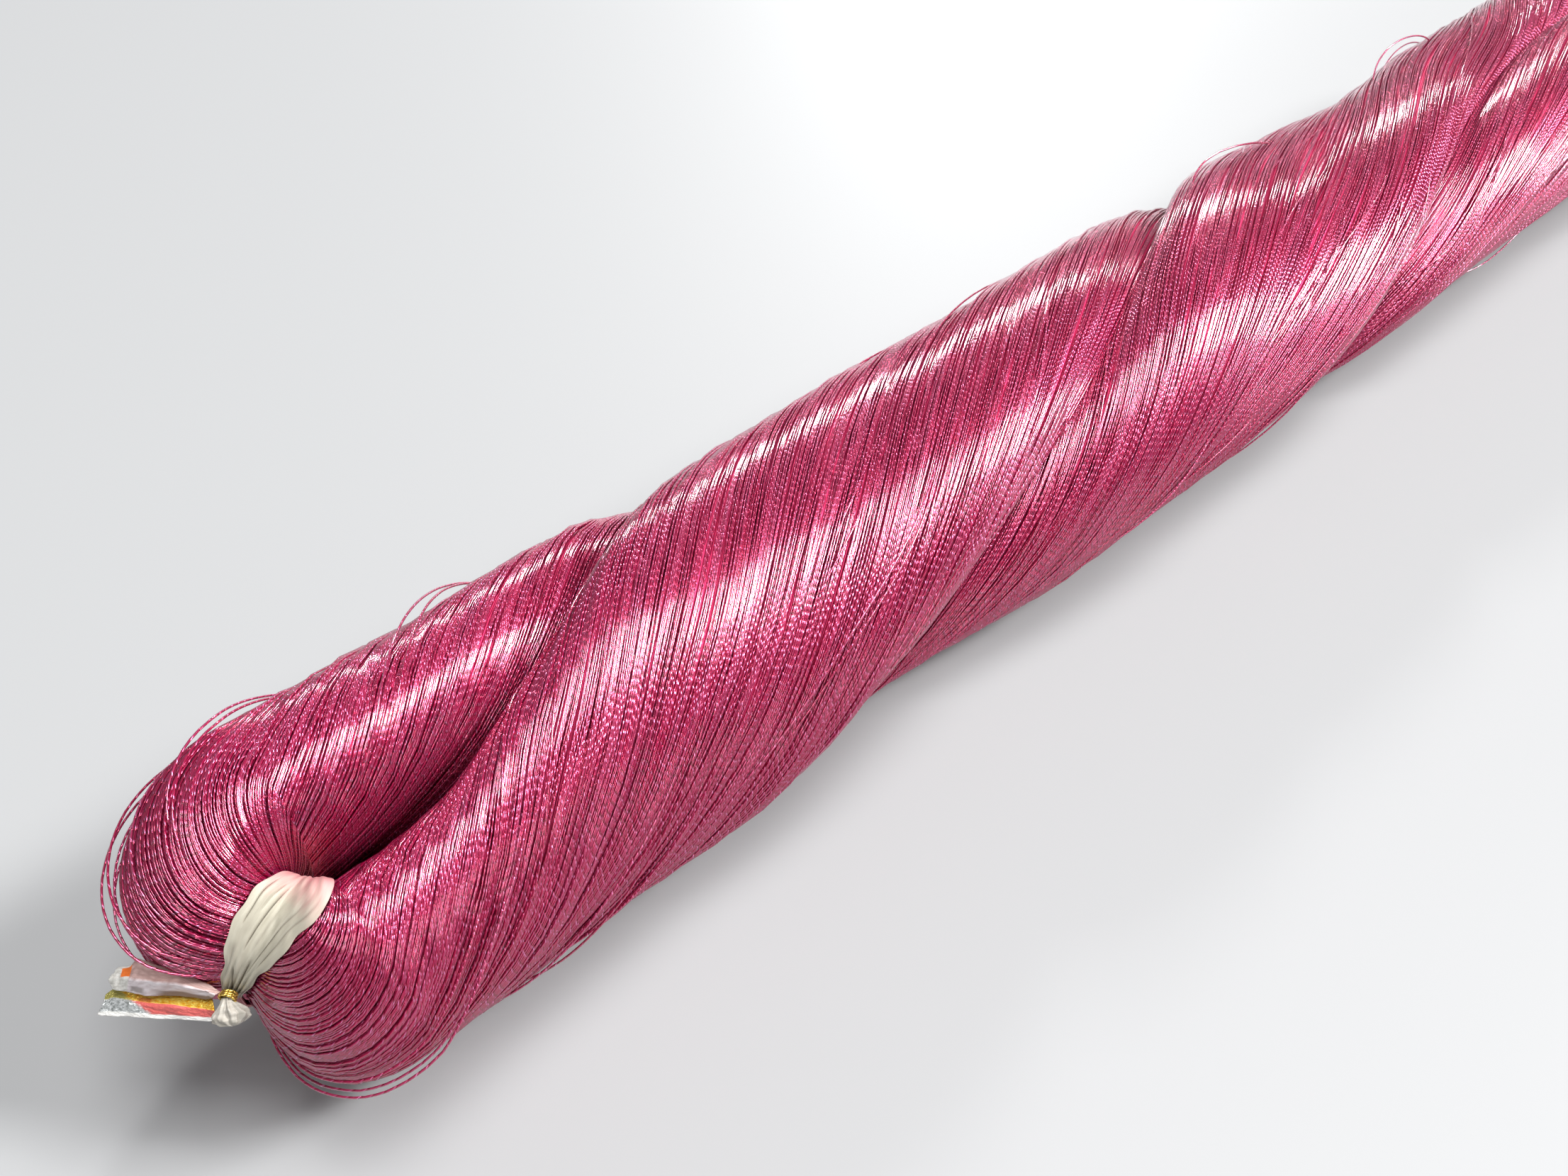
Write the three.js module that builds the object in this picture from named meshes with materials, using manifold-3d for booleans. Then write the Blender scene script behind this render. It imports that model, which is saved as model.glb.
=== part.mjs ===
// A tied skein of fine metallic thread, in millimetres, +Z up.
// The hank is one closed loop laid as two strands that are twisted round each other.
// It lies along X with its tied loop end at -X. A strip of paper goes through the eye of
// that loop end and round its tip, and is bound at the tip where its two ends come out.
import * as THREE from "three";
import Module from "manifold-3d";

const wasm = await Module();
wasm.setup();

// Driving sizes of the hank
const NEAR_PIVOT = 12;
const FAR_PIVOT = 282;
const PINCH_TURN = 26;
const OVERLAP_TURN = 3;
const CORNER_POWER = 0.72;
const CORNER_LEAN = 0.2;
const RING_POINTS = 26;
const BODY_STATIONS = 44;
const TURN_STATIONS = 8;
const FLAT_DEPTH = 60;

// Height of the hank's centre above the surface it lies on
const CENTRE_HEIGHT = [
  { x: 0, height: 19.2 },
  { x: 20, height: 18.7 },
  { x: 50, height: 18.0 },
  { x: 120, height: 17.6 },
  { x: 200, height: 17.4 },
  { x: 300, height: 17.4 },
];

// Direction of the groove between the strands, in degrees up from +Y: the left-handed twist
const TWIST = [
  { x: 0, groove: 112 },
  { x: 16, groove: 114 },
  { x: 36, groove: 98 },
  { x: 54, groove: 66 },
  { x: 72, groove: 28 },
  { x: 92, groove: -8 },
  { x: 114, groove: -44 },
  { x: 136, groove: -82 },
  { x: 158, groove: -125 },
  { x: 180, groove: -172 },
  { x: 200, groove: -214 },
  { x: 225, groove: -252 },
  { x: 250, groove: -272 },
  { x: 268, groove: -280 },
  { x: 300, groove: -284 },
];

// The two strands between the loop ends: how far each begins and ends from the centre, and
// half its height along the groove
const FRONT_STRAND = [
  { x: 12, inner: 2.0, outer: 19.6, half: 15.9 },
  { x: 24, inner: 2.0, outer: 19.4, half: 16.2 },
  { x: 36, inner: -0.6, outer: 18.8, half: 16.8 },
  { x: 54, inner: -2.0, outer: 18.4, half: 17.8 },
  { x: 72, inner: -2.2, outer: 18.2, half: 16.6 },
  { x: 90, inner: -2.2, outer: 18.0, half: 16.2 },
  { x: 136, inner: -2.2, outer: 18.2, half: 16.4 },
  { x: 186, inner: -2.2, outer: 18.4, half: 16.6 },
  { x: 212, inner: -2.2, outer: 18.0, half: 15.6 },
  { x: 236, inner: -2.0, outer: 17.8, half: 15.4 },
  { x: 260, inner: -0.6, outer: 18.0, half: 15.7 },
  { x: 272, inner: 1.0, outer: 18.2, half: 15.4 },
  { x: 282, inner: 1.2, outer: 18.2, half: 15.2 },
];
const BACK_STRAND = [
  { x: 12, inner: 0.6, outer: 17.8, half: 15.7 },
  { x: 24, inner: 0.6, outer: 17.8, half: 16.0 },
  { x: 36, inner: -0.8, outer: 17.6, half: 16.4 },
  { x: 54, inner: -2.0, outer: 17.6, half: 17.2 },
  { x: 72, inner: -2.2, outer: 17.6, half: 15.6 },
  { x: 90, inner: -2.2, outer: 18.0, half: 14.8 },
  { x: 112, inner: -2.2, outer: 19.0, half: 16.0 },
  { x: 136, inner: -2.2, outer: 18.8, half: 17.0 },
  { x: 160, inner: -2.2, outer: 17.8, half: 17.2 },
  { x: 186, inner: -2.2, outer: 16.6, half: 16.2 },
  { x: 212, inner: -2.2, outer: 16.4, half: 15.6 },
  { x: 236, inner: -2.0, outer: 17.6, half: 15.4 },
  { x: 260, inner: -0.6, outer: 18.0, half: 15.7 },
  { x: 272, inner: 1.0, outer: 18.2, half: 15.4 },
  { x: 282, inner: 1.2, outer: 18.2, half: 15.2 },
];

// The loop ends, round from the back strand at -90 degrees to the front strand at 90
const NEAR_LOOP = [
  { turn: -90, inner: 0.6, outer: 17.8, half: 15.7 },
  { turn: -60, inner: 0.9, outer: 17.7, half: 15.4 },
  { turn: -30, inner: 1.5, outer: 17.2, half: 14.6 },
  { turn: -8, inner: 2.1, outer: 16.0, half: 13.2 },
  { turn: 10, inner: 2.2, outer: 13.8, half: 11.6 },
  { turn: 26, inner: 2.2, outer: 11.7, half: 10.4 },
  { turn: 42, inner: 2.2, outer: 14.2, half: 11.8 },
  { turn: 58, inner: 2.2, outer: 17.6, half: 13.8 },
  { turn: 74, inner: 2.0, outer: 19.3, half: 15.2 },
  { turn: 90, inner: 2.0, outer: 19.6, half: 15.9 },
];
const FAR_LOOP = [
  { turn: -90, inner: 1.2, outer: 18.2, half: 15.2 },
  { turn: -60, inner: 1.3, outer: 18.4, half: 14.8 },
  { turn: -30, inner: 1.5, outer: 17.2, half: 13.4 },
  { turn: 0, inner: 1.6, outer: 15.6, half: 12.2 },
  { turn: 30, inner: 1.5, outer: 17.2, half: 13.4 },
  { turn: 60, inner: 1.3, outer: 18.4, half: 14.8 },
  { turn: 90, inner: 1.2, outer: 18.2, half: 15.2 },
];

// The paper tie: a strip round the pinched tip, its binding and its two free ends
const PAPER_THICKNESS = 1.0;
const FIT_GAP = 0.56;
const BAND_STEPS = 34;
const BAND_ACROSS = 6;
const KNOT_PLACE = 22;
// Half the strip's width as turn round the pivot, by place round the section: 0 is the tip
const BAND_WIDTH = [
  { place: 0, spread: 6.5 },
  { place: 22, spread: 5 },
  { place: 44, spread: 11 },
  { place: 70, spread: 22 },
  { place: 110, spread: 32 },
  { place: 145, spread: 46 },
  { place: 180, spread: 58 },
  { place: 220, spread: 44 },
  { place: 260, spread: 26 },
  { place: 310, spread: 14 },
  { place: 360, spread: 6.5 },
];
// The gathered neck of the paper, out from the band along the knot's own direction
const NECK = [
  { out: 0.9, radius: 0.48 },
  { out: 3.4, radius: 0.48 },
  { out: 3.8, radius: 0.9 },
  { out: 4.6, radius: 0.8 },
];
const NECK_ROUND = 10;
// The free ends, by the middle of each section: wide across, leaning down outwards, and
// folded up along the middle
const UPPER_END = [
  { x: -2.2, y: -7.7, z: 21.9, wide: 1.4, lean: 30, fold: 0.2 },
  { x: -3.7, y: -4.2, z: 22.1, wide: 2.1, lean: 28, fold: 0.5 },
  { x: -5.5, y: -0.7, z: 21.7, wide: 2.7, lean: 24, fold: 0.6 },
  { x: -7.2, y: 2.4, z: 21.2, wide: 2.6, lean: 20, fold: 0.3 },
];
const LOWER_END = [
  { x: -2.3, y: -8.9, z: 21.0, wide: 1.8, lean: 30, fold: 0.3 },
  { x: -4.2, y: -5.6, z: 20.3, wide: 2.1, lean: 26, fold: 0.4 },
  { x: -6.5, y: -2.2, z: 19.7, wide: 2.3, lean: 22, fold: 0.3 },
  { x: -9.6, y: 2.4, z: 18.9, wide: 2.4, lean: 18, fold: 0.1 },
];
const END_SECTIONS = 7;
const BINDING_OUT = 2.65;
const BINDING_RADIUS = 1.24;
const BINDING_THICKNESS = 0.7;
const BINDING_STEPS = 16;
const BINDING_ROUND = 8;

const THREAD_MATERIAL = new THREE.MeshStandardMaterial({
  color: 0xc2306a,
  roughness: 0.35,
  metalness: 0.8,
});
const PAPER_MATERIAL = new THREE.MeshStandardMaterial({
  color: 0xd8cdb8,
  roughness: 0.85,
  metalness: 0,
});
const GOLD_MATERIAL = new THREE.MeshStandardMaterial({
  color: 0xc8a24a,
  roughness: 0.4,
  metalness: 0.9,
});

// Value of one column of a table at a place, eased between rows without overshoot
function valueAt(table, by, column, at) {
  const last = table.length - 1;
  if (at <= table[0][by]) return table[0][column];
  if (at >= table[last][by]) return table[last][column];
  let i = 0;
  while (at > table[i + 1][by]) i += 1;
  const span = table[i + 1][by] - table[i][by];
  const t = (at - table[i][by]) / span;
  const from = table[i][column];
  const to = table[i + 1][column];
  const a = tangentAt(table, by, column, i) * span;
  const b = tangentAt(table, by, column, i + 1) * span;
  const t2 = t * t;
  const t3 = t2 * t;
  const ends = (2 * t3 - 3 * t2 + 1) * from + (3 * t2 - 2 * t3) * to;
  return ends + (t3 - 2 * t2 + t) * a + (t3 - t2) * b;
}

// Slope at one row, flat where the column turns back
function tangentAt(table, by, column, i) {
  if (i === 0 || i === table.length - 1) return 0;
  const before = (table[i][column] - table[i - 1][column]) / (table[i][by] - table[i - 1][by]);
  const after = (table[i + 1][column] - table[i][column]) / (table[i + 1][by] - table[i][by]);
  if (before * after <= 0) return 0;
  return (2 * before * after) / (before + after);
}

// Directions of the hank's section at x: along the groove, and towards the front strand
function sectionAxes(groove) {
  const a = THREE.MathUtils.degToRad(groove);
  const along = new THREE.Vector3(0, Math.cos(a), Math.sin(a));
  const front = new THREE.Vector3(0, -Math.sin(a), Math.cos(a));
  return { along, front };
}

// Point of one strand's section: place is the angle round it, 0 on the outside
function sectionPoint(origin, outward, along, size, place, offset) {
  const centre = (size.inner + size.outer) / 2;
  const reach = (size.outer - size.inner) / 2;
  const c = Math.cos(place);
  const s = Math.sin(place);
  const lift = Math.sign(s) * Math.abs(s) ** CORNER_POWER * (1 - CORNER_LEAN * c);
  const rise = offset ? offset * s : 0;
  const push = offset ? offset * c : 0;
  return origin
    .clone()
    .addScaledVector(outward, centre + reach * c + push)
    .addScaledVector(along, size.half * lift + rise);
}

// Centre of the hank at x
function centreAt(x) {
  return new THREE.Vector3(x, 0, valueAt(CENTRE_HEIGHT, "x", "height", x));
}

// Frame of a station in a loop end: way is -1 at the near end and 1 at the far end
function loopStation(table, pivot, way, turn, grooveEnd) {
  const { along, front } = sectionAxes(grooveEnd);
  const t = THREE.MathUtils.degToRad(turn);
  const outward = front.clone().multiplyScalar(Math.sin(t));
  outward.addScaledVector(new THREE.Vector3(way, 0, 0), Math.cos(t));
  const size = {
    inner: valueAt(table, "turn", "inner", turn),
    outer: valueAt(table, "turn", "outer", turn),
    half: valueAt(table, "turn", "half", turn),
  };
  return { origin: centreAt(pivot), outward, along, size };
}

// Frame of a station between the loop ends: side is 1 for the front strand, -1 for the back
function bodyStation(table, side, x) {
  const { along, front } = sectionAxes(valueAt(TWIST, "x", "groove", x));
  const size = {
    inner: valueAt(table, "x", "inner", x),
    outer: valueAt(table, "x", "outer", x),
    half: valueAt(table, "x", "half", x),
  };
  return { origin: centreAt(x), outward: front.multiplyScalar(side), along, size };
}

// Groove direction in a loop end: it eases from the pivot's value to the tip's
function loopGroove(pivot, turn) {
  const tip = pivot === NEAR_PIVOT ? 0 : 300;
  const atTip = valueAt(TWIST, "x", "groove", tip);
  const atPivot = valueAt(TWIST, "x", "groove", pivot);
  return atTip + (atPivot - atTip) * Math.abs(Math.sin(THREE.MathUtils.degToRad(turn)));
}

// Stations of one strand from the pinched tip to just past the far tip
function strandStations(table, side) {
  const stations = [];
  const count = side > 0 ? TURN_STATIONS : TURN_STATIONS + 4;
  for (let i = -1; i < count; i += 1) {
    const step = (side * 90 - PINCH_TURN) / count;
    const turn = i < 0 ? PINCH_TURN - side * OVERLAP_TURN : PINCH_TURN + step * i;
    stations.push(loopStation(NEAR_LOOP, NEAR_PIVOT, -1, turn, loopGroove(NEAR_PIVOT, turn)));
  }
  for (let i = 0; i <= BODY_STATIONS; i += 1) {
    const x = NEAR_PIVOT + ((FAR_PIVOT - NEAR_PIVOT) * i) / BODY_STATIONS;
    stations.push(bodyStation(table, side, x));
  }
  for (let i = 1; i <= TURN_STATIONS + 1; i += 1) {
    const turn = i > TURN_STATIONS ? -side * OVERLAP_TURN : side * 90 * (1 - i / TURN_STATIONS);
    stations.push(loopStation(FAR_LOOP, FAR_PIVOT, 1, turn, loopGroove(FAR_PIVOT, turn)));
  }
  return stations;
}

// Closed body through rings of points, capped at both ends
function bodyThroughRings(rings) {
  const count = rings[0].length;
  const points = rings.flat();
  const faces = [];
  for (let i = 0; i < rings.length - 1; i += 1) {
    for (let j = 0; j < count; j += 1) {
      const next = (j + 1) % count;
      const a = i * count + j;
      const b = i * count + next;
      faces.push(a, b, b + count);
      faces.push(a, b + count, a + count);
    }
  }
  const start = points.length;
  points.push(middleOf(rings[0]));
  points.push(middleOf(rings[rings.length - 1]));
  const end = (rings.length - 1) * count;
  for (let j = 0; j < count; j += 1) {
    const next = (j + 1) % count;
    faces.push(start, next, j);
    faces.push(start + 1, end + j, end + next);
  }
  return solidOf(points, faces);
}

// Closed band through rings of points whose last ring joins the first
function hoopThroughRings(rings) {
  const count = rings[0].length;
  const points = rings.flat();
  const faces = [];
  for (let i = 0; i < rings.length; i += 1) {
    const after = ((i + 1) % rings.length) * count;
    for (let j = 0; j < count; j += 1) {
      const next = (j + 1) % count;
      faces.push(i * count + j, i * count + next, after + next);
      faces.push(i * count + j, after + next, after + j);
    }
  }
  return solidOf(points, faces);
}

function middleOf(ring) {
  const middle = new THREE.Vector3();
  for (const point of ring) middle.add(point);
  return middle.divideScalar(ring.length);
}

// Solid with its faces turned out
function solidOf(points, faces) {
  const mesh = {
    numProp: 3,
    vertProperties: new Float32Array(points.flatMap((p) => [p.x, p.y, p.z])),
    triVerts: new Uint32Array(faces),
  };
  const made = new wasm.Manifold(new wasm.Mesh(mesh));
  if (made.volume() > 0) return made;
  for (let i = 0; i < faces.length; i += 3) {
    mesh.triVerts[i] = faces[i + 1];
    mesh.triVerts[i + 1] = faces[i];
  }
  return new wasm.Manifold(new wasm.Mesh(mesh));
}

function geometryOf(solid) {
  const mesh = solid.getMesh();
  const geometry = new THREE.BufferGeometry();
  const positions = new Float32Array(mesh.vertProperties);
  geometry.setAttribute("position", new THREE.BufferAttribute(positions, 3));
  geometry.setIndex(Array.from(mesh.triVerts));
  const flat = geometry.toNonIndexed();
  flat.computeVertexNormals();
  return flat;
}

// One strand of the hank
function strand(table, side) {
  const rings = strandStations(table, side).map((station) => {
    const ring = [];
    for (let j = 0; j < RING_POINTS; j += 1) {
      const place = (2 * Math.PI * j) / RING_POINTS;
      ring.push(sectionPoint(station.origin, station.outward, station.along, station.size, place, 0));
    }
    return ring;
  });
  return bodyThroughRings(rings);
}

// Everything below the surface that the hank rests on
function restingBlock() {
  const low = new THREE.BoxGeometry(400, 200, FLAT_DEPTH);
  low.translate(150, 0, -FLAT_DEPTH / 2);
  const points = [];
  const at = low.getAttribute("position");
  const seen = new Map();
  const faces = [];
  for (const index of low.getIndex().array) {
    const key = [at.getX(index), at.getY(index), at.getZ(index)].join();
    if (!seen.has(key)) {
      seen.set(key, points.length);
      points.push(new THREE.Vector3(at.getX(index), at.getY(index), at.getZ(index)));
    }
    faces.push(seen.get(key));
  }
  return solidOf(points, faces);
}

function hank() {
  const front = strand(FRONT_STRAND, 1);
  const back = strand(BACK_STRAND, -1);
  return front.add(back).subtract(restingBlock());
}

// The strip of paper round the pinched tip: it follows the threads' surface
function band() {
  const rings = [];
  for (let i = 0; i < BAND_STEPS; i += 1) {
    const place = (360 * i) / BAND_STEPS;
    const spread = valueAt(BAND_WIDTH, "place", "spread", place);
    const inside = [];
    const outside = [];
    for (let j = 0; j <= BAND_ACROSS; j += 1) {
      const turn = PINCH_TURN + spread * ((2 * j) / BAND_ACROSS - 1);
      const station = loopStation(NEAR_LOOP, NEAR_PIVOT, -1, turn, loopGroove(NEAR_PIVOT, turn));
      const angle = THREE.MathUtils.degToRad(place);
      const { origin, outward, along, size } = station;
      inside.push(sectionPoint(origin, outward, along, size, angle, FIT_GAP));
      outside.push(sectionPoint(origin, outward, along, size, angle, FIT_GAP + PAPER_THICKNESS));
    }
    rings.push([...inside, ...outside.reverse()]);
  }
  return hoopThroughRings(rings);
}

// Where the knot sits: the band's narrow place, and the direction straight out from it
function knotFrame() {
  const turn = PINCH_TURN;
  const station = loopStation(NEAR_LOOP, NEAR_PIVOT, -1, turn, loopGroove(NEAR_PIVOT, turn));
  const { origin, outward, along, size } = station;
  const angle = THREE.MathUtils.degToRad(KNOT_PLACE);
  const foot = sectionPoint(origin, outward, along, size, angle, 0);
  const out = outward.clone().multiplyScalar(Math.cos(angle));
  out.addScaledVector(along, Math.sin(angle));
  const across = new THREE.Vector3().crossVectors(outward, along).normalize();
  const up = new THREE.Vector3().crossVectors(across, out).normalize();
  return { foot, out, across, up };
}

// The gathered neck that passes through the binding
function neck() {
  const { foot, out, across, up } = knotFrame();
  const rings = NECK.map((row) => {
    const ring = [];
    for (let j = 0; j < NECK_ROUND; j += 1) {
      const a = (2 * Math.PI * j) / NECK_ROUND;
      const point = foot.clone().addScaledVector(out, row.out);
      point.addScaledVector(across, row.radius * Math.cos(a));
      point.addScaledVector(up, row.radius * Math.sin(a));
      ring.push(point);
    }
    return ring;
  });
  return bodyThroughRings(rings);
}

// One free end of the paper, through the sections of its table
function freeEnd(table) {
  const rows = table.map((row, index) => ({ ...row, index }));
  const rings = [];
  for (let i = 0; i < END_SECTIONS; i += 1) {
    const at = ((rows.length - 1) * i) / (END_SECTIONS - 1);
    const here = (column) => valueAt(rows, "index", column, at);
    const ahead = (column) => valueAt(rows, "index", column, at + 0.2);
    const behind = (column) => valueAt(rows, "index", column, at - 0.2);
    const travel = new THREE.Vector3(ahead("x") - behind("x"), ahead("y") - behind("y"), 0);
    travel.normalize();
    const lean = THREE.MathUtils.degToRad(here("lean"));
    const level = new THREE.Vector3(-travel.y, travel.x, 0);
    const wide = level.multiplyScalar(Math.cos(lean));
    wide.addScaledVector(new THREE.Vector3(0, 0, -1), Math.sin(lean));
    const face = new THREE.Vector3().crossVectors(wide, travel).normalize();
    if (face.z < 0) face.negate();
    const middle = new THREE.Vector3(here("x"), here("y"), here("z"));
    const at3 = (side, lift) =>
      middle
        .clone()
        .addScaledVector(wide, (side * here("wide")) / 2)
        .addScaledVector(face, lift);
    const half = PAPER_THICKNESS / 2;
    const fold = here("fold");
    rings.push([
      at3(-1, -half),
      at3(0, fold - half),
      at3(1, -half),
      at3(1, half),
      at3(0, fold + half),
      at3(-1, half),
    ]);
  }
  return bodyThroughRings(rings);
}

// The whole strip of paper: loop, gathered neck and two free ends
function paper() {
  return band().add(neck()).add(freeEnd(UPPER_END)).add(freeEnd(LOWER_END));
}

// The gold thread that binds the gathered paper
function binding() {
  const { foot, out, across, up } = knotFrame();
  const centre = foot.clone().addScaledVector(out, BINDING_OUT);
  const rings = [];
  for (let i = 0; i < BINDING_STEPS; i += 1) {
    const a = (2 * Math.PI * i) / BINDING_STEPS;
    const outward = across.clone().multiplyScalar(Math.cos(a)).addScaledVector(up, Math.sin(a));
    const ring = [];
    for (let j = 0; j < BINDING_ROUND; j += 1) {
      const b = (2 * Math.PI * j) / BINDING_ROUND;
      const reach = BINDING_RADIUS + (BINDING_THICKNESS / 2) * Math.cos(b);
      const point = centre.clone().addScaledVector(outward, reach);
      ring.push(point.addScaledVector(out, (BINDING_THICKNESS / 2) * Math.sin(b)));
    }
    rings.push(ring);
  }
  return hoopThroughRings(rings);
}

const group = new THREE.Group();
const parts = [
  ["skein", hank(), THREAD_MATERIAL],
  ["tie_paper", paper(), PAPER_MATERIAL],
  ["tie_binding", binding(), GOLD_MATERIAL],
];
for (const [name, solid, material] of parts) {
  const mesh = new THREE.Mesh(geometryOf(solid), material);
  mesh.name = name;
  group.add(mesh);
}

// The origin is the middle of the underside of everything built
const box = new THREE.Box3().setFromObject(group);
const middle = box.getCenter(new THREE.Vector3());
for (const mesh of group.children) mesh.geometry.translate(-middle.x, -middle.y, -box.min.z);

export default group;
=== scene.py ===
import math
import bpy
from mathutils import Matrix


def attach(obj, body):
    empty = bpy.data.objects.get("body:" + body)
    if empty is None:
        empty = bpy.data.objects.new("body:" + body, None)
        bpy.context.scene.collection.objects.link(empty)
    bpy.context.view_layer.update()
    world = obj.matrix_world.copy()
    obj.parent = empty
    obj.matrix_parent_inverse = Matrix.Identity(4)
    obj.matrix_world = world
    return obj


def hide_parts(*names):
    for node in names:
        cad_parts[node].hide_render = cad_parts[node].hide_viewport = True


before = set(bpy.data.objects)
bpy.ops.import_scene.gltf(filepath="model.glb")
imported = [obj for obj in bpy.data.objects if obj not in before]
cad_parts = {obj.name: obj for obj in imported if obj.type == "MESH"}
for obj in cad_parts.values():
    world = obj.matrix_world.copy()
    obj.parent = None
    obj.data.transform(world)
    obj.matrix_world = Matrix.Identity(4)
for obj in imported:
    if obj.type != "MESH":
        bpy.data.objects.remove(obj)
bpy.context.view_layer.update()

from types import SimpleNamespace

import bpy
import numpy as np

# Lengths below are in millimetres in the winding frame: x runs from the tied tip, z is up.
MM = 0.001
ROW_ORIGIN = np.array([143.502, -0.605, 0.0])

# The hank's loops: where they start to turn, the turn that is pinched, and their tips
NEAR_PIVOT = 12.0
FAR_PIVOT = 282.0
PINCH_TURN = 26.0
TIP_NEAR = 0.0
TIP_FAR = 300.0
# How square a strand's section is, and how much narrower it is outwards
CORNER_POWER = 0.72
CORNER_LEAN = 0.2

# The thread, its wraps of leaf, and the gap that it keeps above the table
THREAD_RADIUS = 0.15
WRAP_LENGTH = 0.8
WRAP_HEIGHT = 0.07
TABLE_GAP = 0.02
OUTER_THREADS = 420
UNDER_THREADS = 120
PIECE_THREADS = 135
# The core under the threads: its sides, how far it stands in, and its gap above the table
CORE_SIDES = 72
CORE_LIFT = -0.2
CORE_GAP = 0.12

# The photograph's camera, fitted to the hank: its place, its turn and dip in degrees, its lens
# and middle in pixels, and its lens in millimetres
CAMERA_PLACE = np.array([-4.0, -88.0, 144.0])
CAMERA_TURN = -42.16
CAMERA_DIP = 46.83
PHOTO_LENS = 2000.0
PHOTO_MIDDLE = (1106.0, 829.5)
CAMERA_LENS = 32.55

# The paper's thickness. Round the tied loop, in degrees: the knot's place, how far the gathers
# reach from it, and where the band stands off as it runs straight across the pinch
PAPER = 0.12
KNOT_PLACE = 8.0
GATHER_REACH = 26
BRIDGE_PLACE = 132
BRIDGE_REACH = 26
BRIDGE_LIFT = 1.3
# The paper's neck through its binding, by pixels of the photograph and the height there
NECK_START = (331.0, 1403.0, 20.9)
NECK_MIDDLE = (322.0, 1405.5, 21.5)
NECK_END = (323.0, 1422.0, 21.0)
# The gold turns: their radius, their thread's radius and sides, and the way between turns
GOLD_RADIUS = 0.72
GOLD_THREAD = 0.14
GOLD_SIDES = 8
GOLD_PITCH = 0.25

# The stage, in metres: panels by azimuth, elevation, side and watts, round a middle at x
FLOOR_SIZE = 4.0
FLOOR_DROP = 0.0002
PANEL_MIDDLE = -0.05
PANEL_REACH = 3.0
PANELS = {
    "key_panel": (323, 41, 0.7, 134),
    "top_panel": (325, 79, 1.3, 84),
    "far_panel": (40, 25, 0.3, 46),
    "left_panel": (215, 50, 1.0, 24),
}
ROOM_STRENGTH = 0.2


def table(names, *rows):
    """Rows of numbers as named columns."""
    return dict(zip(names.split(), np.array(rows, float).T))


CENTRE = table("x height", (0, 19.2), (20, 18.7), (50, 18.0), (120, 17.6), (200, 17.4), (300, 17.4))
TWIST = table(
    "x groove",
    (0, 112), (16, 114), (36, 98), (54, 66), (72, 28), (92, -8), (114, -44), (136, -82),
    (158, -125), (180, -172), (200, -214), (225, -252), (250, -272), (268, -280), (300, -284),
)
FRONT_STRAND = table(
    "x inner outer half",
    (12, 2.0, 19.6, 15.9), (24, 2.0, 19.4, 16.2), (36, -0.6, 18.8, 16.8), (54, -2.0, 18.4, 17.8),
    (72, -2.2, 18.2, 16.6), (90, -2.2, 18.0, 16.2), (136, -2.2, 18.2, 16.4),
    (186, -2.2, 18.4, 16.6), (212, -2.2, 18.0, 15.6), (236, -2.0, 17.8, 15.4),
    (260, -0.6, 18.0, 15.7), (272, 1.0, 18.2, 15.4), (282, 1.2, 18.2, 15.2),
)
BACK_STRAND = table(
    "x inner outer half",
    (12, 0.6, 17.8, 15.7), (24, 0.6, 17.8, 16.0), (36, -0.8, 17.6, 16.4), (54, -2.0, 17.6, 17.2),
    (72, -2.2, 17.6, 15.6), (90, -2.2, 18.0, 14.8), (112, -2.2, 19.0, 16.0),
    (136, -2.2, 18.8, 17.0), (160, -2.2, 17.8, 17.2), (186, -2.2, 16.6, 16.2),
    (212, -2.2, 16.4, 15.6), (236, -2.0, 17.6, 15.4), (260, -0.6, 18.0, 15.7),
    (272, 1.0, 18.2, 15.4), (282, 1.2, 18.2, 15.2),
)
NEAR_LOOP = table(
    "turn inner outer half",
    (-90, 0.6, 17.8, 15.7), (-60, 0.9, 17.7, 15.4), (-30, 1.5, 17.2, 14.6), (-8, 2.1, 16.0, 13.2),
    (10, 2.2, 13.8, 11.6), (26, 2.2, 11.7, 10.4), (42, 2.2, 14.2, 11.8), (58, 2.2, 17.6, 13.8),
    (74, 2.0, 19.3, 15.2), (90, 2.0, 19.6, 15.9),
)
FAR_LOOP = table(
    "turn inner outer half",
    (-90, 1.2, 18.2, 15.2), (-60, 1.3, 18.4, 14.8), (-30, 1.5, 17.2, 13.4), (0, 1.6, 15.6, 12.2),
    (30, 1.5, 17.2, 13.4), (60, 1.3, 18.4, 14.8), (90, 1.2, 18.2, 15.2),
)
# How fast the threads turn round their own strand, in degrees per mm, by the way along them
TURNING = table(
    "way rate",
    (0, 5.9), (9, 5.9), (22, 3.4), (37, 1.6), (52, 0.6), (82, 0.7), (97, 0.5), (127, 0.15),
    (165, 0), (200, -0.3), (225, 0.1), (250, 0.6), (300, 0.8), (345, 1.4), (372, 0), (397, -0.2),
    (412, -0.9), (442, -0.75), (457, -0.4), (472, 0.6), (487, 0.95), (517, 1.2), (547, 1.3),
    (562, 1.5), (577, 3.3), (592, 4.0), (607, 2.4), (640, 1.5),
)


# The paper band round the pinched tip: its edges in degrees of turn from the pinch
BAND = table(
    "place left right lift",
    (8, -6.6, -1.2, 1.0), (22, -7.6, 1.4, 0.9), (40, -9.8, 4.8, 0.8), (58, -12.8, 9, 0.8),
    (76, -16.2, 13.8, 0.8), (95, -19.8, 19.5, 0.8), (116, -27, 36, 0.85), (131, -30, 53, 0.9),
    (145, -33, 66, 0.9), (172, -35, 66, 0.8), (200, -34, 54, 0.7), (235, -28, 34, 0.7),
    (275, -20, 18, 0.7), (315, -13, 7, 0.7), (345, -9, 0.5, 0.9), (368, -6.6, -1.2, 1.0),
)
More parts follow.
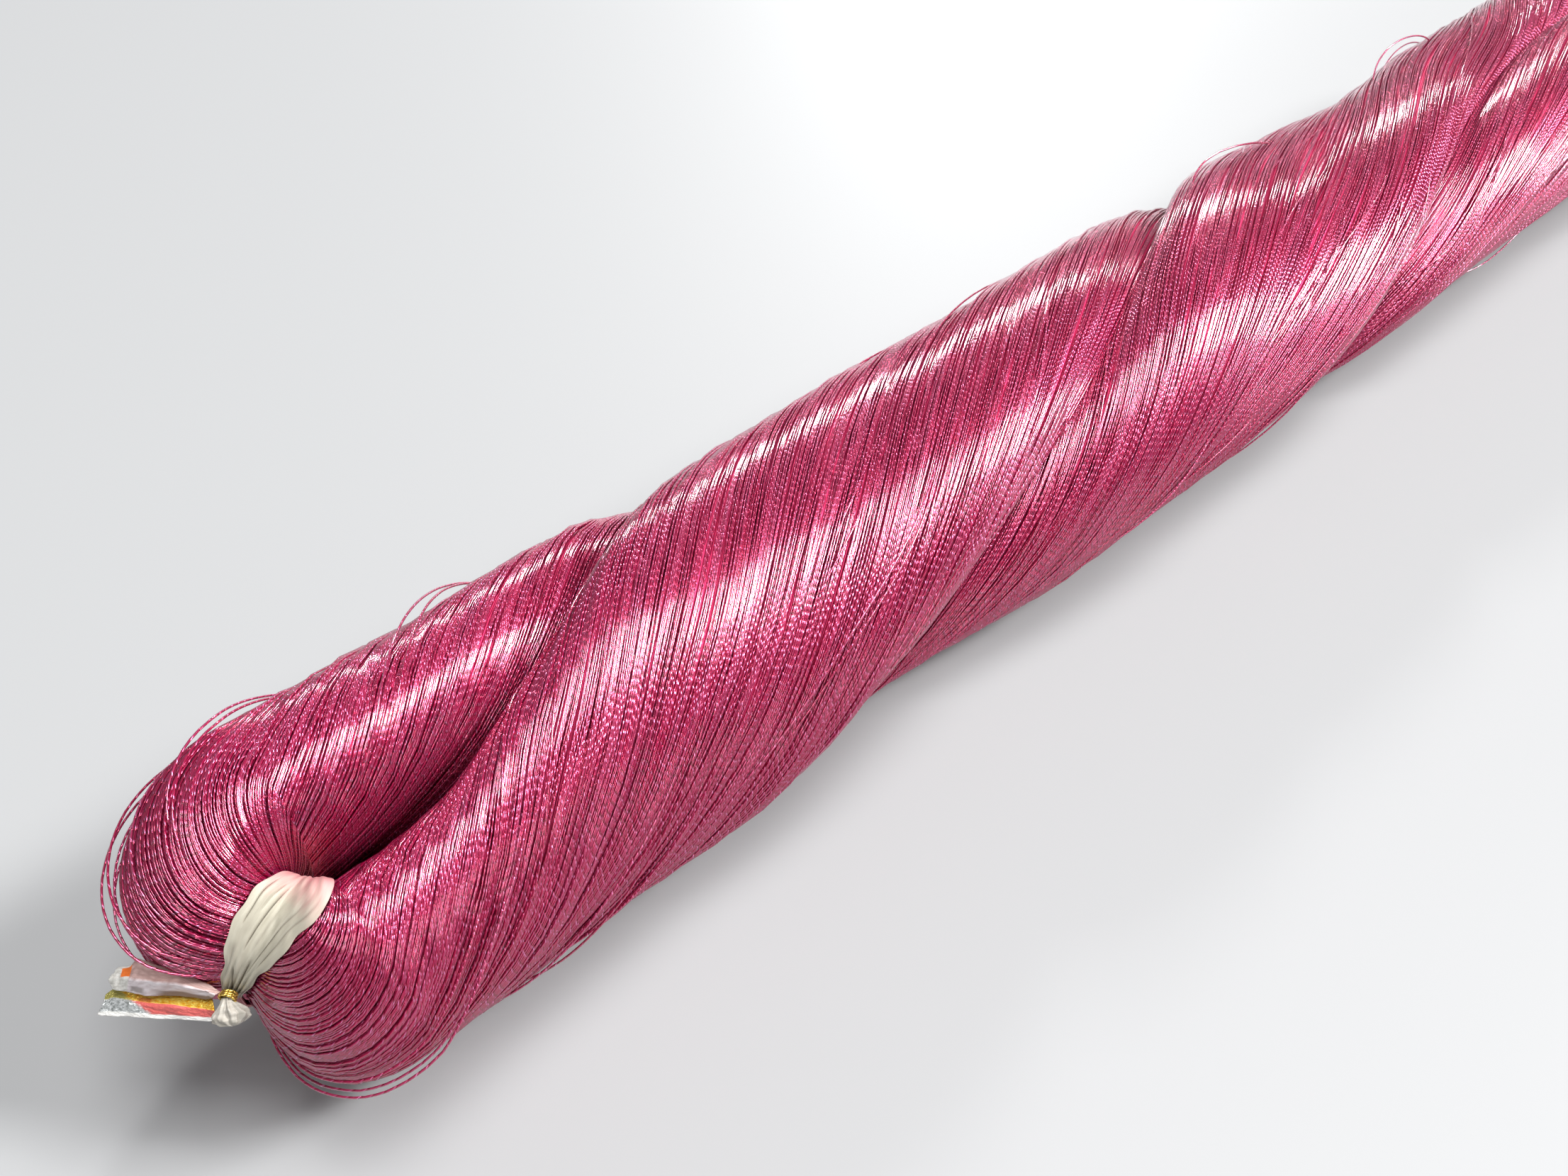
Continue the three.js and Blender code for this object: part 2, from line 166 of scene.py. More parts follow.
# Creases pressed along the band: across is -1 at its left edge and 1 at its right edge
CREASES = table(
    "from_place from_across to_place to_across depth width",
    (82, -0.73, 130, -0.80, 0.26, 0.030), (62, -0.36, 121, -0.26, 0.40, 0.032),
    (96, -0.50, 126, -0.47, 0.14, 0.040), (12, -0.20, 46, -0.52, 0.34, 0.08),
    (36, 0.28, 122, 0.55, 0.20, 0.035), (50, 0.60, 128, 0.80, 0.18, 0.035),
    (14, 0.25, 56, 0.10, 0.24, 0.08), (60, -0.05, 110, 0.02, 0.10, 0.07),
    (78, -0.55, 122, -0.62, -0.14, 0.12), (92, 0.20, 126, 0.24, -0.16, 0.13),
    (30, -0.80, 70, -0.70, 0.14, 0.07),
)
# Threads that have slipped out: distances along the run, the share of the girth at the start,
# how far they drift round it, how far they stand off, and where between the ends that is most
LOOSE = table(
    "start end share drift rise peak",
    (585, 611, 0.89, 0, 1.6, 0.72), (588, 612, 0.91, -1, 2.1, 0.75),
    (592, 612, 0.94, 0.5, 0.9, 0.66), (596, 612, 0.95, -2, 1.2, 0.60),
    (580, 609, 0.86, 2, 0.5, 0.74), (570, 602, 0.87, 0, 1.5, 0.75),
    (574, 604, 0.90, 1, 1.0, 0.70), (1.5, 24, 0.95, -6, 2.6, 0.42),
    (1.5, 30, 0.93, -5, 1.8, 0.40), (2, 22, 0.97, -4, 1.3, 0.45),
    (548, 590, 0.05, 0, 1.7, 0.50), (556, 582, 0.09, 1.5, 1.2, 0.50),
    (50, 95, 0.93, -12, 1.7, 0.50), (56, 92, 0.90, -9, 1.0, 0.55),
    (418, 442, 0.90, -9, 2.0, 0.50), (366, 388, 0.16, -6, 3.2, 0.50),
    (190, 226, 0.24, 3, 2.0, 0.50), (196, 222, 0.25, 1, 1.3, 0.50),
    (68, 122, 0.76, 1, 0.8, 0.50), (74, 126, 0.75, 2.5, 0.9, 0.40),
    (72, 118, 0.73, -1, 0.7, 0.60), (80, 130, 0.74, 0.5, 1.0, 0.50),
    (64, 112, 0.77, 3, 0.6, 0.50),
)
LOOSE_FIRST = 1000
LOOSE_LENGTH = 34
LOOSE_STEPS = 48
# The fuzz of short loose threads: ranges to draw from, the least rise and how much more there is
FUZZ_THREADS = 150
FUZZ_START = (9, 560)
FUZZ_SPAN = (16, 42)
FUZZ_DRIFT = (0.6, 5.5)
FUZZ_PEAK = (0.35, 0.65)
FUZZ_RISE = 0.15
FUZZ_MORE = 1.9

# The two free ends, by pixels of the photograph and the height there: from the knot outwards
UPPER_END = table(
    "top_x top_y top_z fold_x fold_y fold_z low_x low_y low_z",
    (312, 1400, 21.6, 304, 1403, 21.9, 299, 1409, 21.0),
    (298, 1392, 22.0, 291, 1398, 22.3, 289, 1408, 21.0),
    (254, 1369, 22.4, 250, 1388, 22.7, 248, 1405, 20.8),
    (219, 1361, 22.6, 216, 1385, 22.8, 213, 1404, 20.8),
    (195, 1352, 22.8, 192, 1382, 22.6, 189, 1401, 20.8),
    (184, 1362, 22.4, 178, 1380, 22.4, 174, 1398, 20.9),
    (166, 1366, 22.0, 164, 1380, 22.0, 160, 1395, 21.0),
    (155, 1379, 21.6, 154, 1382, 21.6, 155, 1388, 21.2),
)
LOWER_END = table(
    "top_x top_y top_z fold_x fold_y fold_z low_x low_y low_z",
    (300, 1410, 20.6, 303, 1425, 20.7, 312, 1440, 19.8),
    (282, 1405, 20.5, 284, 1424, 20.5, 290, 1440, 19.6),
    (250, 1402, 20.3, 249, 1421, 20.4, 252, 1438, 19.3),
    (216, 1400, 20.1, 213, 1419, 20.0, 212, 1436, 19.0),
    (185, 1398, 20.0, 184, 1416, 19.9, 182, 1434, 18.8),
    (161, 1395, 19.9, 160, 1414, 19.7, 155, 1433, 18.6),
    (150, 1403, 19.6, 145, 1417, 19.4, 137, 1432, 18.5),
)
# The gathered paper past the binding: its middle by pixel and height, and its half sizes
CRUMPLE = table(
    "x y z wide deep",
    (331, 1403, 20.9, 0.75, 0.45), (322, 1406, 21.5, 0.50, 0.45), (321, 1413, 21.4, 0.55, 0.50),
    (323, 1422, 21.0, 1.05, 0.80), (325, 1431, 20.6, 1.60, 0.85), (327, 1438, 20.3, 1.50, 0.75),
    (329, 1444, 20.0, 1.00, 0.55), (330, 1447, 19.9, 0.35, 0.20),
)


def eased(rows, by, column, at):
    """One column of a table at any places, eased between its rows without overshoot."""
    x, y = rows[by], rows[column]
    at = np.clip(at, x[0], x[-1])
    steps = np.diff(y) / np.diff(x)
    before, after = steps[:-1], steps[1:]
    same = before * after > 0
    slopes = np.zeros(len(x))
    slopes[1:-1][same] = 2 * before[same] * after[same] / (before[same] + after[same])
    i = np.clip(np.searchsorted(x, at, side="right") - 1, 0, len(x) - 2)
    span = x[i + 1] - x[i]
    t = (at - x[i]) / span
    ends = (2 * t**3 - 3 * t**2 + 1) * y[i] + (3 * t**2 - 2 * t**3) * y[i + 1]
    return ends + ((t**3 - 2 * t**2 + t) * slopes[i] + (t**3 - t**2) * slopes[i + 1]) * span


def between(at, known, rows):
    """Rows of numbers at any places, straight between those at known places."""
    return np.stack([np.interp(at, known, column) for column in rows.T], -1)


def section_axes(groove):
    """Directions of the hank's section: along the groove, and towards the front strand."""
    a = np.radians(groove)
    along = np.stack([0 * a, np.cos(a), np.sin(a)], -1)
    front = np.stack([0 * a, -np.sin(a), np.cos(a)], -1)
    return along, front


def stations(rows, by, at, origin_x, outward, along):
    """Sections of a strand: where each is, which way it faces, and its size."""
    height = eased(CENTRE, "x", "height", origin_x)
    return SimpleNamespace(
        origin=np.stack([origin_x, 0 * origin_x, height], -1),
        outward=outward,
        along=along,
        inner=eased(rows, by, "inner", at),
        outer=eased(rows, by, "outer", at),
        half=eased(rows, by, "half", at),
    )


def loop_stations(rows, pivot, tip, way, turns):
    """Sections round a loop end, by turn: -90 is at the back strand and 90 at the front."""
    swing = np.radians(turns)
    at_tip = eased(TWIST, "x", "groove", tip)
    at_pivot = eased(TWIST, "x", "groove", pivot)
    along, front = section_axes(at_tip + (at_pivot - at_tip) * np.abs(np.sin(swing)))
    outward = front * np.sin(swing)[:, None]
    outward[:, 0] += way * np.cos(swing)
    return stations(rows, "turn", turns, np.full(len(turns), pivot), outward, along)


def body_stations(rows, side, x):
    """Sections between the loop ends: side is 1 for the front strand and -1 for the back."""
    along, front = section_axes(eased(TWIST, "x", "groove", x))
    return stations(rows, "x", x, x, side * front, along)


def joined(parts):
    """One run of sections, with the distance along it."""
    run = SimpleNamespace()
    for name in ("origin", "outward", "along", "inner", "outer", "half"):
        setattr(run, name, np.concatenate([getattr(part, name) for part in parts]))
    middle = run.origin + run.outward * ((run.inner + run.outer) / 2)[:, None]
    steps = np.linalg.norm(np.diff(middle, axis=0), axis=1)
    run.length = np.concatenate([[0], np.cumsum(steps)])
    return run


def hank_run(body_steps, turn_steps):
    """The whole way round the hank, from the pinched tip along the front strand and back."""
    half_turn = turn_steps // 2
    near_front = np.linspace(PINCH_TURN, 90, half_turn, endpoint=False)
    near_back = np.linspace(-90, PINCH_TURN, turn_steps)
    out = np.linspace(NEAR_PIVOT, FAR_PIVOT, body_steps, endpoint=False)
    back = np.linspace(FAR_PIVOT, NEAR_PIVOT, body_steps, endpoint=False)
    far = np.linspace(90, -90, turn_steps, endpoint=False)
    return joined([
        loop_stations(NEAR_LOOP, NEAR_PIVOT, TIP_NEAR, -1, near_front),
        body_stations(FRONT_STRAND, 1, out),
        loop_stations(FAR_LOOP, FAR_PIVOT, TIP_FAR, 1, far),
        body_stations(BACK_STRAND, -1, back),
        loop_stations(NEAR_LOOP, NEAR_PIVOT, TIP_NEAR, -1, near_back),
    ])


def on_strand(run, place, lift=0.0):
    """Points at angles round every section: lift is how far they stand off the surface."""
    c, s = np.cos(place), np.sin(place)
    centre = ((run.inner + run.outer) / 2)[:, None]
    reach = ((run.outer - run.inner) / 2)[:, None]
    across = run.half[:, None] * np.sign(s) * np.abs(s) ** CORNER_POWER * (1 - CORNER_LEAN * c)
    push = centre + (reach + lift) * c
    rise = across + lift * s
    points = run.origin[:, None] + run.outward[:, None] * push[..., None]
    return points + run.along[:, None] * rise[..., None]


def on_loop(turn, place, lift):
    """Points on the tied loop at any turns and places round it, in degrees."""
    sections = loop_stations(NEAR_LOOP, NEAR_PIVOT, TIP_NEAR, -1, turn.ravel())
    points = on_strand(sections, np.radians(place).reshape(-1, 1), lift.reshape(-1, 1))
    return points.reshape(*turn.shape, 3)


def camera_axes():
    """The camera's right, up and forward directions."""
    turn, dip = math.radians(CAMERA_TURN), math.radians(CAMERA_DIP)
    right = np.array([math.cos(turn), math.sin(turn), 0.0])
    level = np.array([-math.sin(turn), math.cos(turn), 0.0])
    forward = level * math.cos(dip) - np.array([0.0, 0.0, math.sin(dip)])
    return right, np.cross(right, forward), forward


def seen_at(x, y, height):
    """Points at a height that show at pixels of the photograph."""
    right, up, forward = camera_axes()
    aside = ((np.asarray(x, float) - PHOTO_MIDDLE[0]) / PHOTO_LENS)[..., None] * right
    rise = ((PHOTO_MIDDLE[1] - np.asarray(y, float)) / PHOTO_LENS)[..., None] * up
    ray = forward + aside + rise
    reach = (np.asarray(height, float) - CAMERA_PLACE[2]) / ray[..., 2]
    return CAMERA_PLACE + ray * reach[..., None]


def girth_places(run, share):
    """Angles round every section at shares of the way round its edge, and each girth."""
    grid = np.linspace(0, 2 * np.pi, 181)
    edge = on_strand(run, np.tile(grid, (len(run.length), 1)))
    steps = np.linalg.norm(np.diff(edge, axis=1), axis=2)
    walked = np.concatenate([np.zeros((len(edge), 1)), np.cumsum(steps, axis=1)], axis=1)
    girth = walked[:, -1]
    places = np.empty_like(share)
    for i in range(len(edge)):
        places[i] = np.interp(share[i] % 1.0, walked[i] / girth[i], grid)
    return places, girth


def rested(points, clear):
    """Points kept above the surface that the hank lies on."""
    points = points.copy()
    points[..., 2] = np.maximum(points[..., 2], clear)
    return points


def unit(vectors):
    """Vectors made one long."""
    return vectors / np.maximum(np.linalg.norm(vectors, axis=-1, keepdims=True), 1e-9)


def surface_normals(points, run):
    """Directions straight out of the strand at points on it, one row per section."""
    middle = run.origin + run.outward * ((run.inner + run.outer) / 2)[:, None]
    radial = points - middle[:, None]
    flat = np.sum(radial * run.outward[:, None], -1) / ((run.outer - run.inner) / 2)[:, None] ** 2
    tall = np.sum(radial * run.along[:, None], -1) / run.half[:, None] ** 2
    normal = run.outward[:, None] * flat[..., None] + run.along[:, None] * tall[..., None]
    return unit(normal)


# Meshes from arrays

def mesh_piece(name, points, faces, material, maps):
    """A piece of the object from points in the winding frame, placed in the row's frame."""
    mesh = bpy.data.meshes.new(name)
    placed = (np.asarray(points, float).reshape(-1, 3) - ROW_ORIGIN) * MM
    mesh.from_pydata(placed.tolist(), [], faces)
    mesh.polygons.foreach_set("use_smooth", np.ones(len(mesh.polygons), bool))
    for map_name, corners in maps:
        layer = mesh.uv_layers.new(name=map_name)
        layer.data.foreach_set("uv", np.asarray(corners, np.float32).ravel())
    mesh.materials.append(material)
    mesh.update()
    piece = bpy.data.objects.new(name, mesh)
    bpy.context.scene.collection.objects.link(piece)
    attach(piece, "root")
    return piece


def tube_faces(tubes, steps, sides):
    """Faces of closed tubes laid one after another, each of rings of points, capped."""
    ring = np.arange(sides)
    after = (ring + 1) % sides
    base = (np.arange(steps - 1) * sides)[:, None]
    quads = np.stack([base + ring, base + after, base + sides + after, base + sides + ring], -1)
    quads = quads.reshape(-1, 4)
    faces = []
    for tube in range(tubes):
        start = tube * steps * sides
        faces.extend((quads + start).tolist())
        faces.append((start + ring[::-1]).tolist())
        faces.append((start + (steps - 1) * sides + ring).tolist())
    return faces


def ring_corners(length, sides):
    """Face corners between rings: the share of the way round, and the length along."""
    side = np.arange(sides)
    left = np.tile(side / sides, len(length) - 1)
    right = np.tile((side + 1) / sides, len(length) - 1)
    low = np.repeat(length[:-1], sides)
    high = np.repeat(length[1:], sides)
    return np.stack([left, right, right, left], -1), np.stack([low, low, high, high], -1)


def tube_maps(numbers, length, sides):
    """The thread map, which holds a thread's number and length, and the map for baking."""
    around, along = ring_corners(length, sides)
    caps = sides * 2
    own, bake = [], []
    for k, number in enumerate(numbers):
        own.append(np.stack([number + 0.1 + 0.8 * around, along], -1).reshape(-1, 2))
        own.append(np.tile([number + 0.5, length[0]], (caps, 1)))
        row = (k + 0.05 + 0.9 * around) / len(numbers)
        bake.append(np.stack([0.002 + 0.996 * along / length[-1], row], -1).reshape(-1, 2))
        bake.append(np.tile([0.001, (k + 0.5) / len(numbers)], (caps, 1)))
    return [("Thread", np.concatenate(own)), ("OFBake", np.concatenate(bake))]


def tube_points(paths, outwards, radius, sides):
    """Rings of points round each path: paths are threads by steps by 3."""
    ahead = unit(np.gradient(paths, axis=1))
    aside = unit(np.cross(ahead, outwards))
    up = np.cross(aside, ahead)
    angle = np.pi / 2 - 2 * np.pi * np.arange(sides) / sides
    ring = aside[:, :, None] * np.cos(angle)[:, None] + up[:, :, None] * np.sin(angle)[:, None]
    return paths[:, :, None] + radius * ring


def thread_piece(name, numbers, paths, outwards, length, radius, material, sides=3):
    """Threads along their paths, as one piece."""
    points = tube_points(paths, outwards, radius, sides)
    faces = tube_faces(len(paths), paths.shape[1], sides)
    maps = tube_maps(numbers, length, sides)
    piece = mesh_piece(name, points, faces, material, maps)
    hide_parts("skein")
    return piece


def sheet_piece(name, middle, thickness, material, closed=False):
    """A thin closed sheet from a grid of points, along by across, on its middle surface."""
    if closed:
        along = np.roll(middle, -1, axis=0) - np.roll(middle, 1, axis=0)
    else:
        along = np.gradient(middle, axis=0)
    face = unit(np.cross(along, np.gradient(middle, axis=1)))
    low = middle - face * thickness / 2
    high = middle + face * thickness / 2
    rings = np.concatenate([high, low[:, ::-1]], axis=1)
    steps, columns = middle.shape[:2]
    ring = 2 * columns
    spans = steps if closed else steps - 1
    j, i = np.arange(ring), np.arange(spans)[:, None]
    after, ahead = (j + 1) % ring, (i + 1) % steps
    quads = [i * ring + j, i * ring + after, ahead * ring + after, ahead * ring + j]
    faces = np.stack(quads, -1).reshape(-1, 4).tolist()
    share = np.concatenate([np.arange(columns), np.arange(columns)[::-1]]) / (columns - 1)
    one = np.ones((spans, 1))
    across = np.stack([one * share[j], one * share[after]] * 2, -1)[..., [0, 1, 3, 2]]
    length = np.stack([i + 0 * j, i + 0 * j, i + 1 + 0 * j, i + 1 + 0 * j], -1) / spans
    row = np.stack([one * j, one * (j + 0.9)] * 2, -1)[..., [0, 1, 3, 2]] / ring
    own = np.stack([across, length], -1).reshape(-1, 2)
    bake = np.stack([0.005 + 0.99 * length, row], -1).reshape(-1, 2)
    if not closed:
        k = np.arange(columns - 1)
        start = np.stack([k, ring - 1 - k, ring - 2 - k, k + 1], -1)
        end = np.stack([k, k + 1, ring - 2 - k, ring - 1 - k], -1) + (steps - 1) * ring
        faces += np.concatenate([start, end]).tolist()
        first = np.tile([0.5, 0.0], (4 * len(k), 1))
        last = np.tile([0.5, 1.0], (4 * len(k), 1))
        own = np.concatenate([own, first, last])
        bake = np.concatenate([bake, first * 0.001, last * [0.001, 0.99]])
    return mesh_piece(name, rings, faces, material, [("Sheet", own), ("OFBake", bake)])


# Materials

class Flow:
    """A shader value whose operators add the nodes that they name."""

    def __init__(self, finish, socket):
        self.finish = finish
        self.socket = socket

    def math(self, operation, *others):
        return self.finish.node("ShaderNodeMath", {"operation": operation}, [self, *others])

    def __add__(self, other):
        return self.math("ADD", other)

    def __radd__(self, other):
        return self.math("ADD", other)

    def __sub__(self, other):
        return self.math("SUBTRACT", other)

    def __rsub__(self, other):
        return self.finish.node("ShaderNodeMath", {"operation": "SUBTRACT"}, [other, self])

    def __mul__(self, other):
        return self.math("MULTIPLY", other)

    def __truediv__(self, other):
        return self.math("DIVIDE", other)

    def __pow__(self, other):
        return self.math("POWER", other)


class Finish:
    """One material, built up node by node."""

    def __init__(self, name):
        self.material = bpy.data.materials.new(name)
        self.material.use_nodes = True
        self.tree = self.material.node_tree
        self.tree.nodes.clear()

    def node(self, kind, settings=None, inputs=(), output=0):
        """A node of a type: its settings come first, then its sockets' values or links."""
        made = self.tree.nodes.new(kind)
        for key, value in (settings or {}).items():
            if key == "stops":
                set_stops(made.color_ramp, value)
            else:
                setattr(made, key, value)
        pairs = inputs.items() if isinstance(inputs, dict) else enumerate(inputs)
        for key, value in pairs:
            if isinstance(value, Flow):
                self.tree.links.new(value.socket, made.inputs[key])
            else:
                made.inputs[key].default_value = value
        return Flow(self, made.outputs[output])

    def blend(self, share, first, second):
        """A colour between two, by a share."""
        return self.node(
            "ShaderNodeMix",
            {"data_type": "RGBA"},
            {0: share, 6: first, 7: second},
            output=2,
        )

    def surface(self, **sockets):
        """The material's surface: number sockets as they are, colours and normals linked."""
        named = {key.replace("_", " ").title(): value for key, value in sockets.items()}
        named = {key.replace("Ior", "IOR"): value for key, value in named.items()}
        shader = self.node("ShaderNodeBsdfPrincipled", {}, named)
        out = self.tree.nodes.new("ShaderNodeOutputMaterial")
        self.tree.links.new(shader.socket, out.inputs["Surface"])
        return self.material


def set_stops(ramp, stops):
    """A ramp's stops, as places and colours."""
    while len(ramp.elements) > 1:
        ramp.elements.remove(ramp.elements[-1])
    for i, (place, colour) in enumerate(stops):
        stop = ramp.elements[0] if i == 0 else ramp.elements.new(place)
        stop.position = place
        stop.color = colour


def rgb(red, green, blue):
    """An opaque colour."""
    return (red, green, blue, 1.0)


def map_values(finish, name):
    """The two values of a piece's own map."""
    own_map = finish.node("ShaderNodeUVMap", {"uv_map": name})
    first = finish.node("ShaderNodeSeparateXYZ", {}, [own_map])
    second = Flow(finish, first.socket.node.outputs[1])
    return first, second


def within(value, low, high, soft):
    """1 where a value lies between two others, with soft edges."""
    rise = ((value - low) / soft).math("MINIMUM", 1.0).math("MAXIMUM", 0.0)
    fall = ((high - value) / soft).math("MINIMUM", 1.0).math("MAXIMUM", 0.0)
    return rise * fall


def leaf_thread(name, foil, pale, core, roughness):
    """Fine thread wound with metal leaf: wraps are rounded, each with a paler spot at one end that
    is a painted highlight.
    """
    finish = Finish(name)
    side, length = map_values(finish, "Thread")
    number = side.math("FLOOR")
    share = side - number
    own = finish.node("ShaderNodeTexWhiteNoise", {"noise_dimensions": "1D"}, {"W": number})
    wraps = length / WRAP_LENGTH + share + own * 9
    wrap = wraps.math("FLOOR")
    phase = wraps - wrap
    crown = 1 - (phase * 2 - 1).math("ABSOLUTE") ** 3.0
    seed = wrap * 0.731 + number * 17.17
    glint = finish.node("ShaderNodeTexWhiteNoise", {"noise_dimensions": "1D"}, {"W": seed})
    covered = (crown * 1.6).math("MINIMUM", 1.0)
    # Painted highlight: a paler, rougher spot near one end of each wrap stands in for its glint,
    # brighter on some wraps.
    painted_glint_dot = within(phase, 0.70, 0.92, 0.06) * (glint * glint * 0.8 + 0.2)
    # The foil colour, paler at the painted glints and a little paler at random per thread.
    shade = finish.blend(painted_glint_dot * 0.45 + own * 0.10, rgb(*foil), rgb(*pale))
    colour = finish.blend(covered, rgb(*core), shade)
    height = crown * (0.55 + glint * 0.45)
    normal = finish.node(
        "ShaderNodeBump", {}, {"Strength": 1.0, "Distance": WRAP_HEIGHT * MM, "Height": height}
    )
    return finish.surface(
        base_color=colour,
        metallic=0.6,
        ior=1.8,
        roughness=roughness + painted_glint_dot * 0.15,
        coat_weight=1.0,
        coat_ior=1.65,
        coat_roughness=0.12,
        normal=normal,
    )


def paper_finish(name, fresh, worn, reddened=0.0):
    """Thin fibrous paper; the band's has painted shade in its creases and red shows through its
    top.
    """
    finish = Finish(name)
    across, along = map_values(finish, "Sheet")
    place = finish.node("ShaderNodeCombineXYZ", {}, [across * 9, along * 14, 0.0])
    cloud = finish.node("ShaderNodeTexNoise", {}, {"Vector": place, "Scale": 1.0, "Detail": 4.0})
    strand_place = finish.node("ShaderNodeCombineXYZ", {}, [across * 60, along * 20, 3.0])
    fibre = finish.node(
        "ShaderNodeTexNoise", {}, {"Vector": strand_place, "Scale": 1.0, "Detail": 3.0}
    )
    colour = finish.blend((cloud - 0.35) * 1.6 + (fibre - 0.5) * 0.5, rgb(*fresh), rgb(*worn))
    if reddened:
        # Painted shade: the band is darkened along its creases, more where they are deeper.
        crease_shade = finish.node("ShaderNodeAttribute", {"attribute_name": "PaintedCreaseShade"}, output=2)
        colour = finish.blend((crease_shade * 2.6).math("MINIMUM", 0.75), colour, rgb(0.13, 0.10, 0.08))
        start = reddened - 0.05
        through = ((along + (cloud - 0.5) * 0.08 - start) / 0.10).math("MINIMUM", 1.0)
        colour = finish.blend(through.math("MAXIMUM", 0.0) * 0.75, colour, rgb(0.55, 0.17, 0.20))
    normal = finish.node(
        "ShaderNodeBump", {}, {"Strength": 0.5, "Distance": 0.06 * MM, "Height": fibre}
    )
    return finish.surface(base_color=colour, roughness=0.62, normal=normal)


def upper_end_finish():
    """The folded free end: greyish pink above its fold, lilac white below, an orange patch, painted
    shade on one facet and a painted shadow along its lower edge near the knot.
    """
    finish = Finish("folded_end_paper")
    across, along = map_values(finish, "Sheet")
    place = finish.node("ShaderNodeCombineXYZ", {}, [across * 10, along * 16, 1.0])
    cloud = finish.node("ShaderNodeTexNoise", {}, {"Vector": place, "Scale": 1.0, "Detail": 4.0})
    moved = across + (cloud - 0.5) * 0.08
    pink = finish.blend((cloud - 0.3) * 2.4, rgb(0.30, 0.19, 0.17), rgb(0.50, 0.34, 0.31))
    lilac = finish.blend((cloud - 0.3) * 2.4, rgb(0.48, 0.40, 0.41), rgb(0.74, 0.68, 0.70))
    colour = finish.blend(within(moved, 0.46, 9.0, 0.06), pink, lilac)
    tip = finish.blend((cloud - 0.3) * 2.4, rgb(0.42, 0.40, 0.36), rgb(0.72, 0.71, 0.67))
    colour = finish.blend(within(along, 0.66, 9.0, 0.02), colour, tip)
    # Painted shade: a facet below the fold darkened as if it were turned from the light.
    painted_shade_facet = within(along, 0.48, 0.64, 0.03) * within(moved, 0.72, 0.97, 0.05)
    colour = finish.blend(painted_shade_facet * 0.8, colour, rgb(0.24, 0.20, 0.19))
    patch = within(along, 0.655, 0.80, 0.01) * within(across, 0.06, 0.46, 0.03)
    orange = finish.blend(cloud, rgb(0.55, 0.09, 0.01), rgb(0.85, 0.22, 0.03))
    colour = finish.blend(patch, colour, orange)
    # Painted shadow: the flap's lower edge near the knot, where it overhangs the striped end.
    shadow = within(along, -1.0, 0.45, 0.1) * within(moved, 0.74, 9.0, 0.08)
    colour = finish.blend(shadow * 0.9, colour, rgb(0.16, 0.11, 0.09))
    return finish.surface(base_color=colour, roughness=0.55)


def lower_end_finish():
    """The striped free end: gold and silver foil, red and a white edge."""
    finish = Finish("striped_end_paper")
    across, along = map_values(finish, "Sheet")
    place = finish.node("ShaderNodeCombineXYZ", {}, [across * 14, along * 30, 5.0])
    crinkle = finish.node("ShaderNodeTexNoise", {}, {"Vector": place, "Scale": 1.0, "Detail": 4.0})
    drawn = across - (0.5 - along) * 0.22 + (crinkle - 0.5) * 0.05
    outer = within(along + across * 0.35 + (crinkle - 0.5) * 0.1, 0.76, 9.0, 0.05)
    olive = finish.blend(crinkle, rgb(0.36, 0.30, 0.03), rgb(0.66, 0.60, 0.22))
    gold = finish.blend((crinkle - 0.35) * 3, rgb(0.80, 0.36, 0.01), rgb(1.0, 0.78, 0.16))
    silver = finish.blend((crinkle - 0.35) * 3, rgb(0.30, 0.32, 0.31), rgb(0.90, 0.92, 0.92))
    red = finish.blend(crinkle, rgb(0.45, 0.05, 0.06), rgb(0.66, 0.16, 0.13))
    white = finish.blend(crinkle, rgb(0.72, 0.70, 0.66), rgb(0.86, 0.85, 0.82))
    top = finish.blend(outer, gold, olive)
    middle = finish.blend(outer, red, silver)
    colour = finish.blend(within(drawn, 0.38, 9.0, 0.03), top, middle)
    rust = within(along, 0.46, 0.64, 0.06) * within(drawn, 0.22, 0.44, 0.05)
    colour = finish.blend(rust * 0.8, colour, rgb(0.60, 0.16, 0.05))
    colour = finish.blend(within(across, 0.80, 9.0, 0.04), colour, white)
    foil = within(drawn, -9.0, 0.40, 0.03) + outer * within(drawn, 0.38, 0.90, 0.03)
    metal = foil.math("MINIMUM", 1.0) * within(across, -9.0, 0.82, 0.03)
    normal = finish.node(
        "ShaderNodeBump", {}, {"Strength": 0.9, "Distance": 0.12 * MM, "Height": crinkle}
    )
    return finish.surface(
        base_color=colour, metallic=metal * 0.6, roughness=0.5 - metal * 0.25, normal=normal
    )


def gold_finish():
    """Fine gold metallic thread, painted darker towards the ends of its wraps."""
    finish = Finish("gold_binding_thread")
    side, length = map_values(finish, "Thread")
    phase = (length / 0.45 + side).math("FRACT")
    crown = phase * (1 - phase) * 4
    # Painted shade: each wrap is lighter on its crown and darker towards its ends, where the next
    # wrap meets it.
    colour = finish.blend(crown, rgb(0.30, 0.14, 0.01), rgb(0.95, 0.72, 0.18))
    normal = finish.node(
        "ShaderNodeBump", {}, {"Strength": 1.0, "Distance": 0.05 * MM, "Height": crown}
    )
    return finish.surface(base_color=colour, metallic=0.9, roughness=0.28, normal=normal)


